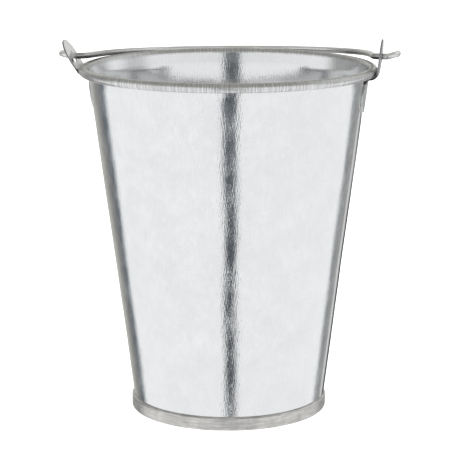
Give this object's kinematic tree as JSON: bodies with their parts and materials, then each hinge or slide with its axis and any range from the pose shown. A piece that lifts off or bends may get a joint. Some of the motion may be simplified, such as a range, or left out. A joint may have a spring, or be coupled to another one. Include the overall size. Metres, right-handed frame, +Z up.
{
  "type": "florist bucket",
  "caption": "Tapered galvanised flower bucket with a rolled wired rim, a foot ring, bent ears spot-welded to the wall and a swinging wire bail.",
  "frame": {"origin": "centre of the foot ring's underside, on the floor", "axes": "+Z up along the bucket's axis, +X towards the right ear, -Y the front: the bail lies back over the +Y side"},
  "size_m": [0.1974, 0.1802, 0.2157],
  "materials": {
    "galvanised_sheet": "zinc-coated sheet, semi-bright, faint drawn streaks and spangle",
    "steel_wire": "drawn steel wire, hidden inside the rolled rim",
    "galvanised_bottom": "zinc-coated sheet, dull",
    "galvanised_strip": "zinc-coated strip, matt, brushed round its length",
    "ear_steel": "zinc-coated steel strip, satin",
    "bail_wire": "zinc-coated wire, semi-bright"
  },
  "bodies": {
    "bucket": {"body_shell": "galvanised_sheet", "rim_wire": "steel_wire", "bottom_plate": "galvanised_bottom", "foot_ring": "galvanised_strip", "left_ear": "ear_steel", "right_ear": "ear_steel"},
    "bail": {"bail_handle": "bail_wire"}
  },
  "joints": [
    {"name": "bail_swing", "type": "hinge", "parent": "bucket", "child": "bail", "pos_m": [0, 0, 0.2048], "axis": [0.9999, 0, 0.0122], "range_deg": [0, 187.6]}
  ]
}
